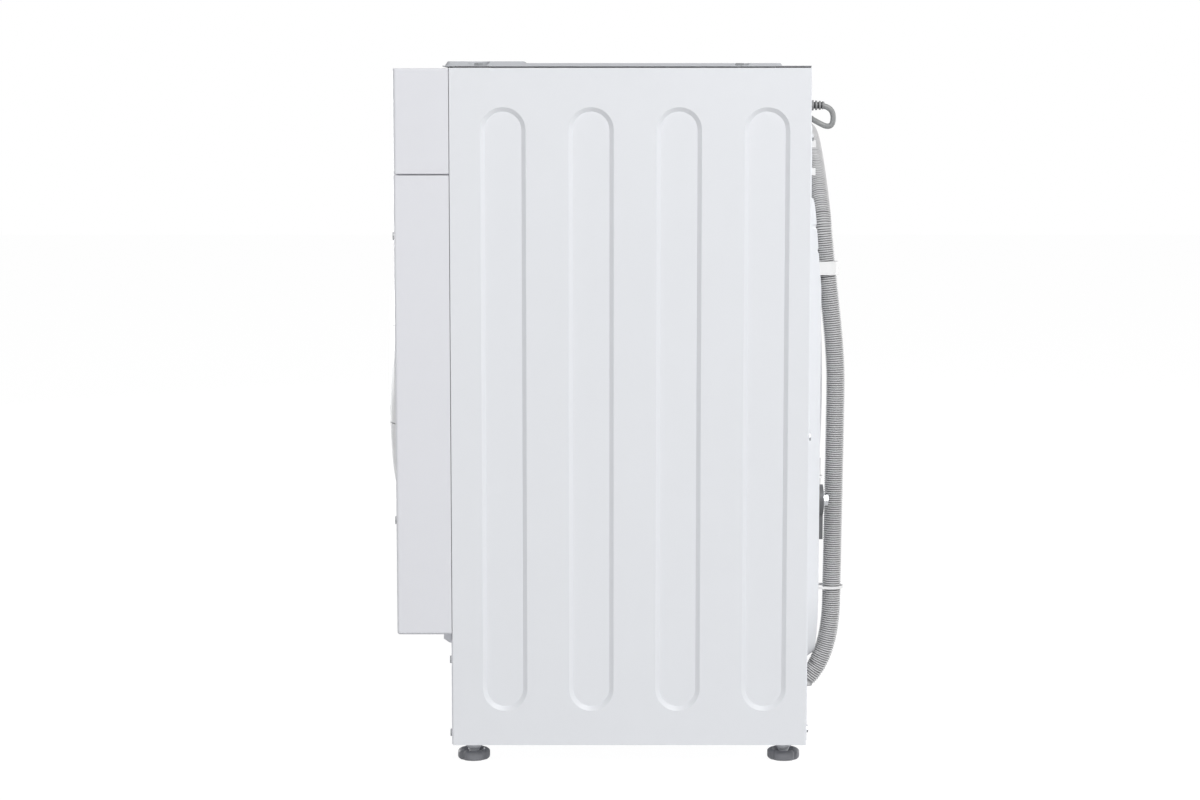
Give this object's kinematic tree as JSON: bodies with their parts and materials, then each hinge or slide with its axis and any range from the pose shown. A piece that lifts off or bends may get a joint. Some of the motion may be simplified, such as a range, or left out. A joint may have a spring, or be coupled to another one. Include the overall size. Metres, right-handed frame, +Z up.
{
  "type": "built-in washing machine",
  "caption": "Built-in front-loading washing machine with a bulging round door, ribbed steel sides, detergent drawer, drain hose and coiled mains lead, on levelling feet.",
  "frame": {"origin": "on the floor, under the middle of the overall width and depth, feet screwed in", "axes": "+X to the right as seen from the front, +Y from the front to the back, +Z up"},
  "size_m": [0.604, 0.5535, 0.82],
  "materials": {
    "white_paint": "satin powder coat, slightly cool white",
    "zinc_steel": "galvanised, dull",
    "white_plastic": "fine matte",
    "fascia_plastic": "smooth, half gloss",
    "silver_plastic": "silver lacquer",
    "dark_window": "dark clear cover",
    "grey_plastic": "matte",
    "dark_plastic": "matte",
    "tub_plastic": "matte, filled plastic",
    "rubber_grey": "soft matte rubber",
    "rubber_black": "matte rubber",
    "concrete": "cast concrete, rough",
    "stainless": "polished stainless sheet",
    "cast_aluminium": "cast, slightly rough",
    "bare_steel": "plain steel",
    "door_glass": "clear moulded glass",
    "hose_grey": "satin grey corrugated",
    "cord_grey": "satin lead sheath"
  },
  "bodies": {
    "cabinet": {"side_panel_right": "white_paint", "side_panel_left": "white_paint", "base_pan": "zinc_steel", "rear_panel": "white_paint", "top_cover": "white_paint", "crossbars": "zinc_steel", "front_panel": "white_paint", "plinth_panel": "white_paint", "control_panel": "fascia_plastic", "display_module": "dark_window", "dispenser_housing": "tub_plastic", "water_hoses": "rubber_black", "inlet_valve": "white_plastic", "pressure_switch": "white_plastic", "tub_front": "tub_plastic", "tub_rear": "tub_plastic", "tub_clips": "bare_steel", "tub_bolts": "bare_steel", "door_gasket": "rubber_grey", "counterweights": "concrete", "suspension_springs": "bare_steel", "dampers": "grey_plastic", "shaft_bearings": "bare_steel", "drive_belt": "rubber_black", "motor": "cast_aluminium", "heating_element": "stainless", "drain_pump": "white_plastic", "door_hinge_base": "cast_aluminium", "door_lock": "dark_plastic", "drain_hose": "hose_grey", "power_cord": "cord_grey", "power_plug": "cord_grey", "cord_gland": "dark_plastic", "transport_spacers": "dark_plastic", "transport_bolts": "bare_steel", "rear_clips": "white_plastic", "cabinet_screws": "bare_steel"},
    "drum_group": {"drum": "stainless", "drum_lifters": "grey_plastic", "drum_spider": "cast_aluminium", "drum_pulley": "cast_aluminium"},
    "motor_rotor": {"motor_pulley": "bare_steel"},
    "door": {"door_ring": "fascia_plastic", "door_inner_ring": "white_plastic", "door_glass": "door_glass", "door_hinge_arm": "cast_aluminium"},
    "door_lever": {"door_handle": "silver_plastic", "latch_hook": "bare_steel"},
    "drawer": {"drawer_tray": "white_plastic", "drawer_front": "fascia_plastic"},
    "knob": {"programme_knob": "silver_plastic"},
    "power_key": {"power_button": "silver_plastic"},
    "start_key": {"start_button": "silver_plastic"},
    "flap": {"filter_flap": "white_plastic"},
    "filter": {"filter_cap": "grey_plastic"},
    "front_left_foot": {"foot_front_left": "dark_plastic"},
    "front_right_foot": {"foot_front_right": "dark_plastic"},
    "rear_left_foot": {"foot_rear_left": "dark_plastic"},
    "rear_right_foot": {"foot_rear_right": "dark_plastic"}
  },
  "joints": [
    {"name": "drum_spin", "type": "hinge", "parent": "cabinet", "child": "drum_group", "pos_m": [0, 0.15, 0.428], "axis": [0, 1, 0], "continuous": true},
    {"name": "motor_spin", "type": "hinge", "parent": "cabinet", "child": "motor_rotor", "pos_m": [-0.095, 0.203, 0.124], "axis": [0, 1, 0], "continuous": true},
    {"name": "door_swing", "type": "hinge", "parent": "cabinet", "child": "door", "pos_m": [-0.172, -0.2575, 0.428], "axis": [0, 0, -1], "range_deg": [0, 110]},
    {"name": "door_pull", "type": "hinge", "parent": "door", "child": "door_lever", "pos_m": [0.14, -0.2575, 0.445], "axis": [0, 0, -1], "range_deg": [0, 7], "stiffness_Nm_per_rad": 0.6, "springref_deg": -5.73},
    {"name": "drawer_slide", "type": "slide", "parent": "cabinet", "child": "drawer", "axis": [0, -1, 0], "range_m": [0, 0.19]},
    {"name": "knob_turn", "type": "hinge", "parent": "cabinet", "child": "knob", "pos_m": [-0.062, -0.256, 0.765], "axis": [0, 1, 0], "continuous": true},
    {"name": "power_press", "type": "slide", "parent": "cabinet", "child": "power_key", "axis": [0, 1, 0], "range_m": [0, 0.002], "stiffness_N_per_m": 900, "springref_m": -0.0006},
    {"name": "start_press", "type": "slide", "parent": "cabinet", "child": "start_key", "axis": [0, 1, 0], "range_m": [0, 0.002], "stiffness_N_per_m": 900, "springref_m": -0.0006},
    {"name": "flap_fold", "type": "hinge", "parent": "cabinet", "child": "flap", "pos_m": [0.205, -0.19, 0.048], "axis": [1, 0, 0], "range_deg": [0, 100]},
    {"name": "filter_turn", "type": "hinge", "parent": "cabinet", "child": "filter", "pos_m": [0.205, -0.18, 0.084], "axis": [0, 1, 0], "range_deg": [0, 90]},
    {"name": "front_left_foot_level", "type": "slide", "parent": "cabinet", "child": "front_left_foot", "axis": [0, 0, -1], "range_m": [0, 0.02]},
    {"name": "rear_left_foot_level", "type": "slide", "parent": "cabinet", "child": "rear_left_foot", "axis": [0, 0, -1], "range_m": [0, 0.02]},
    {"name": "front_right_foot_level", "type": "slide", "parent": "cabinet", "child": "front_right_foot", "axis": [0, 0, -1], "range_m": [0, 0.02]},
    {"name": "rear_right_foot_level", "type": "slide", "parent": "cabinet", "child": "rear_right_foot", "axis": [0, 0, -1], "range_m": [0, 0.02]}
  ],
  "couplings": [
    {"joint": "motor_spin", "follows": "drum_spin", "ratio": 14.5}
  ]
}
